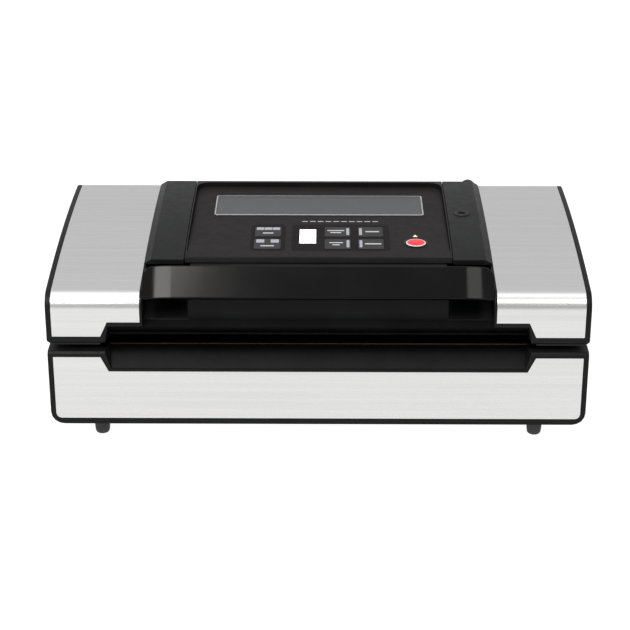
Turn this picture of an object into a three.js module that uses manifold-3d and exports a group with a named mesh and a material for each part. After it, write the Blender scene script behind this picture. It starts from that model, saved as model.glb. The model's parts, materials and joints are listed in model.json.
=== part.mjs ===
// Vacuum packing machine: a suction sealer with a hinged lid, a push-down locking handle,
// a heated sealing bar across the front of the base and a control console on the lid.
//
// Millimetres, +X to the right, +Y to the back, +Z up, ground at Z = 0.
// Depths are written as "u", the distance behind the machine's front face.

import * as THREE from 'three';
import { ConvexGeometry } from 'three/addons/geometries/ConvexGeometry.js';
import { mergeVertices } from 'three/addons/utils/BufferGeometryUtils.js';
import Module from 'manifold-3d';

const wasm = await Module();
wasm.setup();

// ---------------------------------------------------------------- driving dimensions

const WIDTH = 490;
const DEPTH = 260;
const HALF = WIDTH / 2;
const WALL = 3;
const GAP = 0.3;

const FOOT_HEIGHT = 19;
const BASE_TOP = 92;
const BASE_CORNER = 12;
const LID_BOTTOM = 99.5;
const LID_CHAMFER = 2.5;

const CROWN_Z = 161.4;
const CROWN_U = 200;
const CROWN_CURVE = 3.83e-4;
const BEND_RADIUS = 16;
const BEND_STEPS = 8;
const REAR_RADIUS = 10;

const SHEET = 1;
const STEEL_INNER = 160.2;
const STEEL_OUTER = 239.9;
const STEEL_BOTTOM = 106.9;

const WELL_HALF = 158;
const WELL_FLOOR = 117;
const SLOT_INNER = 118;
const SLOT_FLOOR = 131;

const PIVOT = { u: 70, z: 142 };
const SHAFT_RADIUS = 4;
const HANDLE_HALF = 157.6;
const ARM = { inner: 121, outer: 152 };
const HOOK = { inner: 222, outer: 228, noseInner: 60.3, noseOuter: 66 };
const KEEPER = { reach: 57, angle: 12, radius: 2.5 };

const CONSOLE_HALF = 159.8;
const CONSOLE_RISE = 5;
const CONSOLE_FRONT = 58;
const CONSOLE_BACK = 251;
const SEAM = 123.5;

const PANEL = { half: 122, front: 64.5, back: 246, frontZ: 159.1, backZ: 160.87, corner: 12 };
const PANEL_TILT = Math.atan((PANEL.backZ - PANEL.frontZ) / (PANEL.back - PANEL.front));
const MEMBRANE = 1.2;
const KEY = { proud: 0.5, thickness: 2, corner: 1.5 };

const FASCIA = { half: 240.1, low: 25, top: 86.6, notchZ: 72.4, notchHalf: 190, corner: 5 };
const MOUTH_HALF = 189.5;
const SILL_HALF = 197;
const RAMP = { bottomZ: 75, topU: 20, topZ: 90 };
const CHANNEL = { front: 22, back: 38.5, half: 197.5, floor: 80 };
const TAPE_HALF = 193.5;
const TAPE_TOP = 93.7;
const LINER_FRONT = 22;
const RIDGE_BACK = LINER_FRONT - 0.5;
const TROUGH = { front: 55, back: 115, half: 188, floor: 70, corner: 12 };
const RING = { front: 44.5, back: 127, half: 201, width: 6.5, corner: 14 };
const POCKET = { front: 40, back: 105, inner: 218, outer: 232, floor: 73 };

const HINGE = { u: 266, z: 94, radius: 5.5, pin: 3, x: 190, width: 36 };
const CONDUIT = { x: 150.6, exitZ: 156, u: 272, elbowEnd: 122, baseZ: 66, radius: 6, elbow: 7.7 };
const MOTOR = { u: 185, z: 52, radius: 18 };

const FOOT_X = 201;
const FOOT_U = [22, 238];
const SCREW_X = 222;
const SCREW_U = [20, 240];
const SCREW_TOP = FOOT_HEIGHT + 14;

const rad = THREE.MathUtils.degToRad;

// ---------------------------------------------------------------- materials

const finish = (color, roughness, metalness = 0) => ({ color, roughness, metalness });
const FINISH = {
  steel: finish(0xc9c7c6, 0.34, 1),
  darkSteel: finish(0x8c8e90, 0.4, 1),
  black: finish(0x1b1b1c, 0.55),
  gloss: finish(0x0b0b0c, 0.18),
  membrane: finish(0x343031, 0.45),
  key: finish(0x3f4041, 0.5),
  red: finish(0xd0202c, 0.35),
  display: finish(0xf4f4f4, 0.4),
  glass: finish(0x9fa3a8, 0.1),
  rubber: finish(0x202020, 0.8),
  foam: finish(0x2b2b2d, 0.95),
  silicone: finish(0xb8423a, 0.7),
  tape: finish(0x7a4a25, 0.6),
  aluminium: finish(0xa9abad, 0.45, 1),
  tray: finish(0x3a3b3d, 0.4),
  board: finish(0x2c5c3f, 0.6),
  brass: finish(0xb59a55, 0.35, 1),
};

// ---------------------------------------------------------------- solids

const X = new THREE.Vector3(1, 0, 0);
const Y = new THREE.Vector3(0, 1, 0);
const Z = new THREE.Vector3(0, 0, 1);
const SIDE = new THREE.Matrix4().makeBasis(Y, Z, X);
const FRONT = new THREE.Matrix4().makeBasis(X, Z, Y.clone().negate());

function solid(geometry) {
  const bare = geometry.clone();
  bare.deleteAttribute('normal');
  bare.deleteAttribute('uv');
  const merged = mergeVertices(bare, 1e-4);
  return new wasm.Manifold(new wasm.Mesh({
    numProp: 3,
    vertProperties: new Float32Array(merged.attributes.position.array),
    triVerts: new Uint32Array(merged.index.array),
  }));
}

function outline(points) {
  return new THREE.Shape(points.map(([a, b]) => new THREE.Vector2(a, b)));
}

function extrude(points, depth) {
  return new THREE.ExtrudeGeometry(outline(points), { depth, bevelEnabled: false });
}

// A side outline of [u, z] points, carried across the width from x0 to x1.
const sideways = (points, x0, x1) =>
  solid(extrude(points, x1 - x0).applyMatrix4(SIDE).translate(x0, 0, 0));

// A front outline of [x, z] points, carried back from u0 to u1.
const backways = (points, u0, u1) =>
  solid(extrude(points, u1 - u0).applyMatrix4(FRONT).translate(0, u1, 0));

// A plan outline of [x, u] points, carried up from z0 to z1.
const upwards = (points, z0, z1) => solid(extrude(points, z1 - z0).translate(0, 0, z0));

const rectangle = (a0, b0, a1, b1) => [[a0, b0], [a1, b0], [a1, b1], [a0, b1]];
const block = (x0, x1, u0, u1, z0, z1) => upwards(rectangle(x0, u0, x1, u1), z0, z1);

function arc(a, b, radius, from, to, steps) {
  const points = [];
  for (let i = 0; i <= steps; i += 1) {
    const angle = rad(from + (to - from) * i / steps);
    points.push([a + radius * Math.cos(angle), b + radius * Math.sin(angle)]);
  }
  return points;
}

const circle = (a, b, radius, sides = 16) => arc(a, b, radius, 0, 360, sides).slice(0, sides);

function rounded(a0, b0, a1, b1, radius, steps = 3) {
  return [
    ...arc(a1 - radius, b0 + radius, radius, -90, 0, steps),
    ...arc(a1 - radius, b1 - radius, radius, 0, 90, steps),
    ...arc(a0 + radius, b1 - radius, radius, 90, 180, steps),
    ...arc(a0 + radius, b0 + radius, radius, 180, 270, steps),
  ];
}

const both = (make) => make(-1).add(make(1));
const mirrored = (points, side) => points.map(([a, b]) => [a * side, b]);
const across = (side, near, far) => (side < 0 ? [-far, -near] : [near, far]);

function convex(points) {
  return solid(new ConvexGeometry(points.map((p) => new THREE.Vector3(...p))));
}

// A closed body through rings of equal size, from front to back. Each is an array of [x, u, z]
// points that runs anticlockwise as seen from the front.
function loft(rings) {
  const count = rings[0].length;
  const last = (rings.length - 1) * count;
  const faces = [];
  for (let r = 0; r < rings.length - 1; r += 1) {
    for (let i = 0; i < count; i += 1) {
      const a = r * count + i;
      const b = r * count + (i + 1) % count;
      faces.push(a, b + count, b, a, a + count, b + count);
    }
  }
  for (let i = 1; i < count - 1; i += 1) {
    faces.push(0, i, i + 1, last, last + i + 1, last + i);
  }
  const geometry = new THREE.BufferGeometry();
  geometry.setAttribute('position', new THREE.Float32BufferAttribute(rings.flat(2), 3));
  geometry.setIndex(faces);
  return solid(geometry);
}

function rod(points, radius, sides = 10, steps = 12) {
  const path = new THREE.CatmullRomCurve3(points.map((p) => new THREE.Vector3(...p)));
  return solid(new THREE.ExtrudeGeometry(outline(circle(0, 0, radius, sides)), {
    steps,
    extrudePath: path,
    bevelEnabled: false,
  }));
}

const machine = new THREE.Group();

function add(name, body, look, parent = machine) {
  const { vertProperties, triVerts } = body.getMesh();
  const geometry = new THREE.BufferGeometry();
  geometry.setAttribute('position', new THREE.Float32BufferAttribute(vertProperties, 3));
  geometry.setIndex([...triVerts]);
  geometry.computeVertexNormals();
  const mesh = new THREE.Mesh(
    geometry,
    new THREE.MeshStandardMaterial({ ...FINISH[look], flatShading: true }),
  );
  mesh.name = name;
  parent.add(mesh);
}

const sideName = (side) => (side < 0 ? 'left' : 'right');

// ---------------------------------------------------------------- the lid's outline

const crown = (u) => CROWN_Z - CROWN_CURVE * (u - CROWN_U) ** 2;
const BEND_TILT = THREE.MathUtils.radToDeg(Math.atan(2 * CROWN_CURVE * (CROWN_U - BEND_RADIUS)));
const BEND_Z = crown(BEND_RADIUS * (1 - Math.sin(rad(BEND_TILT))))
  - BEND_RADIUS * Math.cos(rad(BEND_TILT));
const REAR_U = DEPTH - REAR_RADIUS;
const REAR_Z = crown(REAR_U) - REAR_RADIUS;
const CROWN_STATIONS = [45, 80, 115, 150, 185, 220];

// The lid seen from the side, from the front bend over the crown to the rear roll.
function lidCurve(inset) {
  return [
    ...arc(BEND_RADIUS, BEND_Z, BEND_RADIUS - inset, 180, 90 + BEND_TILT, BEND_STEPS),
    ...CROWN_STATIONS.map((u) => [u, crown(u) - inset]),
    ...arc(REAR_U, REAR_Z, REAR_RADIUS - inset, 90, 0, 4),
  ];
}

function lidBody(inset, x0, x1, bottom) {
  return sideways([[inset, bottom], ...lidCurve(inset), [DEPTH - inset, bottom]], x0, x1);
}

// A bent sheet that covers one side of the lid, with the slanted notch beside the bag mouth.
function steelSheet(side, thickness, grow) {
  const [x0, x1] = across(side, STEEL_INNER - grow, STEEL_OUTER + grow);
  const low = STEEL_BOTTOM - grow;
  const rearLow = REAR_Z - 14 - grow;
  const outer = [[-grow, low], ...lidCurve(-grow), [DEPTH + grow, rearLow]];
  const inner = [[thickness, low], ...lidCurve(thickness), [DEPTH - thickness, rearLow]];
  const sheet = sideways([...outer, ...inner.reverse()], x0, x1);
  const notch = mirrored(
    [[150, 90], [203, 90], [196.2 - grow, STEEL_BOTTOM], [189.8 - grow, 121 - grow], [150, 121 - grow]],
    side,
  );
  return sheet.subtract(backways(notch, -5, 12));
}

// ---------------------------------------------------------------- base: housing

function baseShell() {
  const outer = (inset, low) => [
    ...arc(-HALF + BASE_CORNER, low + BASE_CORNER - inset, BASE_CORNER - inset, 180, 270, 4),
    ...arc(HALF - BASE_CORNER, low + BASE_CORNER - inset, BASE_CORNER - inset, 270, 360, 4),
    [HALF - inset, BASE_TOP - inset],
    [-HALF + inset, BASE_TOP - inset],
  ];
  const behindRamp = [
    [0, RAMP.bottomZ - 4], [WALL, RAMP.bottomZ - 4], [24, RAMP.topZ - 2], [24, BASE_TOP], [0, BASE_TOP],
  ];
  const bosses = both((side) => SCREW_U
    .map((u) => upwards(circle(side * SCREW_X, u, 4.5, 10), FOOT_HEIGHT + WALL, BASE_TOP))
    .reduce((a, b) => a.add(b)));
  const kept = sideways(behindRamp, -SILL_HALF, SILL_HALF)
    .add(block(-200.5, 200.5, CHANNEL.front - WALL, CHANNEL.back + WALL, CHANNEL.floor - WALL, BASE_TOP))
    .add(block(-204, 204, 43, RING.back + WALL, 86, BASE_TOP))
    .add(block(-191, 191, TROUGH.front - WALL, TROUGH.back + WALL, TROUGH.floor - WALL, BASE_TOP))
    .add(both((side) => {
      const [x0, x1] = across(side, POCKET.inner - WALL, POCKET.outer + WALL);
      return block(x0, x1, POCKET.front - WALL, POCKET.back + WALL, POCKET.floor - WALL, BASE_TOP);
    }))
    .add(bosses);
  const cavity = backways(outer(WALL, FOOT_HEIGHT + WALL), WALL, DEPTH - WALL)
    .add(block(-230, 230, 4, DEPTH - 4, FOOT_HEIGHT - 1, FOOT_HEIGHT + 5))
    .subtract(kept);
  return backways(outer(0, FOOT_HEIGHT), 0, DEPTH)
    .subtract(cavity)
    .subtract(baseFrontCuts())
    .subtract(deckCuts())
    .subtract(baseRearCuts())
    .subtract(both((side) => SCREW_U
      .map((u) => upwards(circle(side * SCREW_X, u, 1.8, 8), FOOT_HEIGHT, SCREW_TOP + 2))
      .reduce((a, b) => a.add(b))));
}

function fasciaOutline(grow) {
  const { corner } = FASCIA;
  const side = FASCIA.half + grow;
  const low = FASCIA.low - grow;
  const top = FASCIA.top + grow;
  const notchTop = SILL_HALF - grow;
  const notchLow = FASCIA.notchHalf - grow;
  return [
    ...arc(-side + corner, low + corner, corner, 180, 270, 3),
    ...arc(side - corner, low + corner, corner, 270, 360, 3),
    [side, top],
    [notchTop, top],
    [notchLow, FASCIA.notchZ + grow],
    [-notchLow, FASCIA.notchZ + grow],
    [-notchTop, top],
    [-side, top],
  ];
}

function baseFrontCuts() {
  const ramp = convex([-1, 1].flatMap((side) => [
    [side * 187.5, -2, RAMP.bottomZ],
    [side * 187.5, 1.5, RAMP.bottomZ],
    [side * MOUTH_HALF, RAMP.topU, RAMP.topZ],
    [side * MOUTH_HALF, RAMP.topU, 96],
    [side * 194.5, -2, 96],
  ]));
  const sill = block(-SILL_HALF, SILL_HALF, RAMP.topU - 0.5, 43, RAMP.topZ, 96);
  const lip = sideways([[-1, 89], [0, 90], [2, BASE_TOP], [2, 96], [-1, 96]], -HALF - 1, HALF + 1);
  return ramp.add(sill).add(lip).add(backways(fasciaOutline(GAP), -1, SHEET + GAP));
}

function ringOutline(inset) {
  return rounded(
    -RING.half + inset,
    RING.front + inset,
    RING.half - inset,
    RING.back - inset,
    RING.corner - inset,
  );
}

function ringBody(inset, z0, z1) {
  return upwards(ringOutline(inset), z0, z1)
    .subtract(upwards(ringOutline(RING.width - inset), z0 - 1, z1 + 1));
}

const keeperAt = {
  u: PIVOT.u + KEEPER.reach * Math.sin(rad(KEEPER.angle)),
  z: PIVOT.z - KEEPER.reach * Math.cos(rad(KEEPER.angle)),
};

function deckCuts() {
  const { front, back, half, floor } = CHANNEL;
  const channel = block(-half, half, front, back, floor, 96);
  const trough = upwards(
    rounded(-TROUGH.half, TROUGH.front, TROUGH.half, TROUGH.back, TROUGH.corner),
    TROUGH.floor,
    96,
  );
  const pockets = both((side) => {
    const [x0, x1] = across(side, POCKET.inner, POCKET.outer);
    const [p0, p1] = across(side, POCKET.inner - 2, POCKET.outer + 2);
    return block(x0, x1, POCKET.front, POCKET.back, POCKET.floor, 96)
      .add(sideways(circle(keeperAt.u, keeperAt.z, KEEPER.radius + GAP, 12), p0, p1));
  });
  return channel.add(trough).add(ringBody(0, BASE_TOP - WALL, 96)).add(pockets);
}

const INLET = { x0: -206, x1: -150, z0: 28, z1: 54, corner: 2 };

function baseRearCuts() {
  const inlet = rectangle(INLET.x0, INLET.z0, INLET.x1, INLET.z1);
  let cuts = backways(inlet, DEPTH - 8, DEPTH + 1)
    .add(backways(circle(CONDUIT.x, CONDUIT.baseZ, CONDUIT.radius + 1, 16), DEPTH - 8, DEPTH + 1));
  for (let i = 0; i < 7; i += 1) {
    const x = -18 + i * 12;
    cuts = cuts.add(block(x - 2, x + 2, DEPTH - 8, DEPTH + 1, 36, 62));
  }
  return cuts;
}

function bottomPlate() {
  let plate = upwards(rounded(-229.5, 4.5, 229.5, DEPTH - 4.5, 4, 2), FOOT_HEIGHT, FOOT_HEIGHT + 2);
  for (const side of [-1, 1]) {
    for (const u of SCREW_U) {
      plate = plate.subtract(upwards(circle(side * SCREW_X, u, 2, 10), 10, 30));
    }
    for (const u of FOOT_U) {
      plate = plate.subtract(upwards(circle(side * FOOT_X, u, 3.3, 12), 10, 30));
    }
  }
  for (let i = 0; i < 6; i += 1) {
    plate = plate.subtract(block(-10 + i * 12, -6 + i * 12, 170, 200, 10, 30));
  }
  return plate;
}

function foot(side, u) {
  const profile = [
    [0, 0], [4.6, 0], [6.1, 1], [6.7, 3], [8, FOOT_HEIGHT - GAP], [3, FOOT_HEIGHT - GAP],
    [3, FOOT_HEIGHT + 4.5], [0, FOOT_HEIGHT + 4.5],
  ];
  const body = new THREE.LatheGeometry(profile.map(([r, z]) => new THREE.Vector2(r, z)), 16);
  return solid(body.rotateX(Math.PI / 2).translate(side * FOOT_X, u, 0));
}

function bottomScrew(side, u) {
  const x = side * SCREW_X;
  return upwards(circle(x, u, 3.4, 10), FOOT_HEIGHT - 2, FOOT_HEIGHT - GAP)
    .add(upwards(circle(x, u, 1.5, 8), FOOT_HEIGHT - 1, SCREW_TOP));
}

add('base_shell', baseShell(), 'black');
add('bottom_plate', bottomPlate(), 'darkSteel');
add('front_fascia', backways(fasciaOutline(0), 0, SHEET), 'steel');
for (const side of [-1, 1]) {
  for (const u of FOOT_U) {
    add(`foot_${u < DEPTH / 2 ? 'front' : 'rear'}_${sideName(side)}`, foot(side, u), 'rubber');
  }
  for (const u of SCREW_U) {
    add(`screw_${u < DEPTH / 2 ? 'front' : 'rear'}_${sideName(side)}`, bottomScrew(side, u), 'darkSteel');
  }
}

// ---------------------------------------------------------------- base: sealing and vacuum

function dripTray() {
  const shape = (inset) => rounded(
    -TROUGH.half + inset,
    TROUGH.front + inset,
    TROUGH.half - inset,
    TROUGH.back - inset,
    TROUGH.corner - inset,
  );
  return upwards(shape(1), TROUGH.floor + GAP, BASE_TOP - 1)
    .subtract(upwards(shape(2.5), TROUGH.floor + 2, BASE_TOP + 1));
}

// A strip that runs along the channel in the front of the base, inset from both its edges.
function alongChannel(half, inset, z0, z1) {
  return block(-half, half, CHANNEL.front + inset, CHANNEL.back - inset, z0, z1);
}

// The release tape lies over the element and hangs down in front of the seal bar.
function releaseTape() {
  const flap = CHANNEL.front + GAP;
  return alongChannel(TAPE_HALF, GAP, TAPE_TOP - 0.4, TAPE_TOP)
    .add(block(-TAPE_HALF, TAPE_HALF, flap, flap + 0.4, TAPE_TOP - 8, TAPE_TOP));
}

add('seal_bar', alongChannel(196.5, 1, CHANNEL.floor + GAP, TAPE_TOP - 1.3), 'aluminium');
add('heating_element', alongChannel(192, 6.2, TAPE_TOP - 1, TAPE_TOP - 0.7), 'darkSteel');
add('ptfe_tape', releaseTape(), 'tape');
add('lower_gasket', ringBody(GAP, BASE_TOP - WALL + GAP, 93.6), 'foam');
add('drip_tray', dripTray(), 'tray');
for (const side of [-1, 1]) {
  const [x0, x1] = across(side, POCKET.inner - 1.7, POCKET.outer + 1.7);
  add(
    `latch_keeper_${sideName(side)}`,
    sideways(circle(keeperAt.u, keeperAt.z, KEEPER.radius, 12), x0, x1),
    'darkSteel',
  );
}

function pumpCrankcase() {
  const { u, z } = MOTOR;
  return block(-52, -22, u - 20, u + 20, 34, 72)
    .subtract(block(-49, -25, u - 13, u + 13, z - 14, 80))
    .subtract(sideways(circle(u, z, 3.5, 12), -30, -20))
    .add(block(-52, 52, u - 26, u + 26, FOOT_HEIGHT + WALL, 36))
    .subtract(sideways(circle(u, z, MOTOR.radius + GAP, 24), -21.9, 60));
}

function pumpEccentric() {
  const { u, z } = MOTOR;
  return sideways(circle(u, z, 3, 12), -42, -20.5)
    .add(sideways(circle(u, z + 2.5, 8, 16), -42, -34));
}

const pumpHead = block(-52, -22, MOTOR.u - 20, MOTOR.u + 20, 72.3, 82)
  .add(sideways(circle(MOTOR.u, 80.5, 7, 12), -60, -50));
const hoseStart = [-37, MOTOR.u - 20.3, 77];
const hoseEnd = [-60, TROUGH.back + WALL + GAP, 77];

add('pump_motor', sideways(circle(MOTOR.u, MOTOR.z, MOTOR.radius, 24), -19.5, 50), 'darkSteel');
add('pump_crankcase', pumpCrankcase(), 'aluminium');
add('pump_eccentric', pumpEccentric(), 'brass');
add('pump_head', pumpHead, 'tray');
add('vacuum_hose', rod([hoseStart, [-37, 152, 77], [-60, 138, 77], hoseEnd], 4), 'silicone');
add(
  'release_valve',
  block(88, 112, 152, 176, 50, 74).add(upwards(circle(100, 164, 7, 12), 72, 84)),
  'tray',
);

// The board that feeds the pump and the heater, with its transformer, capacitor and heat sink.
function powerSupply() {
  return block(-136, -60, 150, 250, 26, 27.6)
    .add(block(-124, -72, 156, 196, 27, 62))
    .add(sideways(rounded(160, 32, 192, 57, 6, 3), -130, -66))
    .add(upwards(circle(-122, 212, 8, 12), 27, 50))
    .add(block(-98, -78, 206, 244, 27, 44))
    .add(block(-128, -108, 228, 246, 27, 40));
}

// The inlet socket on the left and the recess for the rocker switch on the right.
function inletModule() {
  const { x0, x1, z0, z1 } = INLET;
  const frame = (grow) => rounded(x0 + grow, z0 + grow, x1 - grow, z1 - grow, INLET.corner, 2);
  const socket = block(x0 + 3, x0 + 27, DEPTH - 12, DEPTH + 3, z0 + 4, z1 - 4);
  const pins = block(x0 + 9, x0 + 11, DEPTH - 13, DEPTH - 3, z0 + 8, z0 + 13)
    .add(block(x0 + 19, x0 + 21, DEPTH - 13, DEPTH - 3, z0 + 8, z0 + 13))
    .add(block(x0 + 14, x0 + 16, DEPTH - 13, DEPTH - 3, z0 + 14, z0 + 19));
  const recess = block(x1 - 22, x1 - 4, DEPTH - 10, DEPTH + 3, z0 + 4, z1 - 4);
  return backways(frame(GAP), DEPTH - 18, DEPTH + 0.4)
    .add(backways(frame(-2), DEPTH + GAP, DEPTH + 2))
    .subtract(socket.subtract(pins))
    .subtract(recess);
}

// The rocker's two half faces lean away from its middle, where it pivots.
const ROCKER = { u: DEPTH - 3, z: (INLET.z0 + INLET.z1) / 2 };
function rocker() {
  const { u, z } = ROCKER;
  const face = [[u - 4, z - 5], [u + 4.6, z - 7.5], [u + 3.6, z], [u + 6, z + 7.3], [u - 4, z + 5]];
  return sideways(face, INLET.x1 - 21, INLET.x1 - 5);
}

add('power_supply', powerSupply(), 'board');
add('power_inlet', inletModule(), 'black');
add('power_rocker', rocker(), 'gloss');

// ---------------------------------------------------------------- hinges and conduit

function hingeLeaf(side, plate, knuckles) {
  const start = side * HINGE.x - HINGE.width / 2;
  let leaf = sideways(plate, start, start + HINGE.width);
  leaf = leaf.subtract(
    sideways(circle(HINGE.u, HINGE.z, HINGE.radius + 0.4, 20), start - 1, start + HINGE.width + 1),
  );
  for (const [from, to] of knuckles) {
    const neck = plate[0][1] < HINGE.z
      ? rectangle(DEPTH + GAP, HINGE.z - 9, HINGE.u - 1, HINGE.z)
      : rectangle(DEPTH + GAP, HINGE.z, HINGE.u - 1, HINGE.z + 9);
    const barrel = sideways(circle(HINGE.u, HINGE.z, HINGE.radius, 20), start + from, start + to)
      .add(sideways(neck, start + from, start + to));
    leaf = leaf.add(barrel);
  }
  const bore = sideways(circle(HINGE.u, HINGE.z, HINGE.pin + GAP, 16), start - 1, start + HINGE.width + 1);
  return leaf.subtract(bore);
}

const basePlate = rectangle(DEPTH + GAP, 62, DEPTH + 2.8, HINGE.z - 7);
const lidPlate = rectangle(DEPTH + GAP, HINGE.z + 7, DEPTH + 2.8, 128);
for (const side of [-1, 1]) {
  const name = sideName(side);
  const start = side * HINGE.x - HINGE.width / 2;
  add(`base_hinge_${name}`, hingeLeaf(side, basePlate, [[0, 11.7], [24.3, 36]]), 'darkSteel');
  add(`lid_hinge_${name}`, hingeLeaf(side, lidPlate, [[12, 24]]), 'darkSteel');
  add(
    `hinge_pin_${name}`,
    sideways(circle(HINGE.u, HINGE.z, HINGE.pin, 16), start - 1, start + HINGE.width + 1),
    'steel',
  );
}

const conduitElbow = rod(
  [
    [CONDUIT.x, 252, CONDUIT.exitZ],
    [CONDUIT.x, 259, CONDUIT.exitZ],
    [CONDUIT.x, 268.5, CONDUIT.exitZ - 4.5],
    [CONDUIT.x, 271.5, CONDUIT.exitZ - 12],
    [CONDUIT.x, CONDUIT.u, CONDUIT.exitZ - 20],
    [CONDUIT.x, CONDUIT.u, CONDUIT.elbowEnd],
  ],
  CONDUIT.elbow,
  16,
  10,
);
const conduitHose = rod(
  [
    [CONDUIT.x, CONDUIT.u, CONDUIT.elbowEnd - GAP],
    [CONDUIT.x, CONDUIT.u, 98],
    [CONDUIT.x, CONDUIT.u, 79],
    [CONDUIT.x, CONDUIT.u - 4, 69],
    [CONDUIT.x, CONDUIT.u - 12, CONDUIT.baseZ],
    [CONDUIT.x, CONDUIT.u - 19, CONDUIT.baseZ],
  ],
  CONDUIT.radius,
  14,
  16,
);

add('conduit_elbow', conduitElbow, 'black');
add('conduit_hose', conduitHose, 'rubber');

// ---------------------------------------------------------------- lid: housing

function lidShell() {
  const centreHollow = [
    [RIDGE_BACK, 90], [RIDGE_BACK, 134.8], [52, 143.8], [63, 150.3], [90, 153.4], [90, 90],
  ];
  const slotHollow = [
    [RIDGE_BACK, 90], [RIDGE_BACK, 116], [62, SLOT_FLOOR - WALL], [83.1, SLOT_FLOOR - WALL], [83.1, 90],
  ];
  const well = [[-5, WELL_FLOOR], [16, WELL_FLOOR], [18, 138], [52, 147], [62, 153.6], [62, 190], [-5, 190]];
  const slot = [
    [-5, WELL_FLOOR], [14, WELL_FLOOR], [64, SLOT_FLOOR], [80, SLOT_FLOOR], [80, 190], [-5, 190],
  ];
  const ridge = block(-196, 196, 0, RIDGE_BACK, LID_BOTTOM, WELL_FLOOR);
  const rearHollow = lidBody(WALL, -161, 161, 90)
    .subtract(block(-170, 170, -5, 83, 80, 200));
  const hollows = both((side) => {
    const [x0, x1] = across(side, WELL_HALF + WALL, HALF - WALL);
    return lidBody(WALL + SHEET, x0, x1, 90);
  })
    .subtract(ridge)
    .add(rearHollow)
    .add(sideways(centreHollow, -115, 115))
    .add(both((side) => {
      const [x0, x1] = across(side, 114, WELL_HALF + WALL + 0.1);
      return sideways(slotHollow, x0, x1);
    }))
    .add(block(-HALF + WALL, HALF - WALL, RIDGE_BACK, DEPTH - WALL, 90, 102));
  const recesses = both((side) => steelSheet(side, SHEET + GAP, GAP));
  const slots = both((side) => {
    const [x0, x1] = across(side, SLOT_INNER, WELL_HALF);
    return sideways(slot, x0, x1);
  });
  return lidBody(0, -HALF, HALF, LID_BOTTOM)
    .subtract(hollows)
    .subtract(sideways(well, -WELL_HALF, WELL_HALF))
    .subtract(slots)
    .subtract(recesses)
    .subtract(lidEdgeCuts())
    .subtract(lidOpenings());
}

function lidEdgeCuts() {
  const low = LID_BOTTOM - 1;
  const run = LID_CHAMFER + 1;
  const front = sideways([[-1, low], [LID_CHAMFER, low], [LID_CHAMFER, LID_BOTTOM],
    [0, LID_BOTTOM + LID_CHAMFER], [-1, low + run + 1]], -HALF - 1, HALF + 1);
  const sides = both((side) => backways(mirrored([
    [HALF + 1, low], [HALF - LID_CHAMFER, low], [HALF - LID_CHAMFER, LID_BOTTOM],
    [HALF, LID_BOTTOM + LID_CHAMFER], [HALF + 1, low + run + 1],
  ], side), -1, DEPTH + 1));
  const mouth = convex([-1, 1].flatMap((side) => [
    [side * MOUTH_HALF, -1, 117.9],
    [side * 193.6, -1, 94],
    [side * MOUTH_HALF, LINER_FRONT + 1, 94],
    [side * MOUTH_HALF, LINER_FRONT + 1, 101],
    [side * MOUTH_HALF, 11, 101],
  ]));
  return front.add(sides).add(mouth);
}

function lidOpenings() {
  const shaftBore = sideways(circle(PIVOT.u, PIVOT.z, SHAFT_RADIUS + 0.5, 16), -231.5, 231.5);
  const panelBay = block(-127, 127, 86.5, 249.3, 140, 190);
  const port = upwards(circle(PORT.x, PORT.u, 5.3, 16), 140, 190);
  const elbowRadius = CONDUIT.elbow + 0.4;
  const elbow = backways(circle(CONDUIT.x, CONDUIT.exitZ, elbowRadius, 16), 251.3, DEPTH + 2)
    .add(backways(circle(CONDUIT.x, CONDUIT.exitZ - 2.5, elbowRadius, 16), 257, DEPTH + 2));
  return shaftBore.add(panelBay).add(port).add(elbow);
}

const PORT = { x: 137.5, u: 159.5, flange: 7.5, tube: 4.8, bore: 3.4 };

add('lid_shell', lidShell(), 'black');
for (const side of [-1, 1]) {
  add(`steel_cover_${sideName(side)}`, steelSheet(side, SHEET, 0), 'steel');
}

// ---------------------------------------------------------------- lid: underside

function lidLiner() {
  const plan = [
    [-241.5, 4.5], [-197, 4.5], [-197, LINER_FRONT], [197, LINER_FRONT], [197, 4.5], [241.5, 4.5],
    [241.5, 256.5], [-241.5, 256.5],
  ];
  const dome = upwards(rounded(-191, 53, 191, 117, 12), 99, 113);
  const chamber = upwards(rounded(-TROUGH.half, 56, TROUGH.half, 114, 10), 90, 110.5);
  const hookSlots = both((side) => {
    const [x0, x1] = across(side, POCKET.inner + 1, POCKET.outer - 1);
    return block(x0, x1, 45, 82, 90, 120);
  });
  return upwards(plan, 97, 101.5)
    .add(dome)
    .subtract(chamber)
    .subtract(hookSlots)
    .subtract(ringBody(0, 90, 99.8))
    .subtract(alongChannel(194, 1.7, 90, 99.8));
}

add('lid_liner', lidLiner(), 'tray');
add('upper_gasket', ringBody(GAP, 96.2, 99.5), 'foam');
add('pressure_strip', alongChannel(TAPE_HALF, 2, 96.6, 99.5), 'silicone');

// ---------------------------------------------------------------- console

const consoleTop = (u) => crown(u) + CONSOLE_RISE;
const CONSOLE_STATIONS = [CONSOLE_FRONT, 80, 110, 140, 170, 200, 228, CONSOLE_BACK];

function onPanel(geometry) {
  return geometry.rotateX(PANEL_TILT).translate(0, PANEL.front, PANEL.frontZ);
}

function panelCut(half, front, back, low, high, corner) {
  const plan = rounded(-half, front - PANEL.front, half, back - PANEL.front, corner);
  return solid(onPanel(extrude(plan, high - low).translate(0, 0, low)));
}

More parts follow.
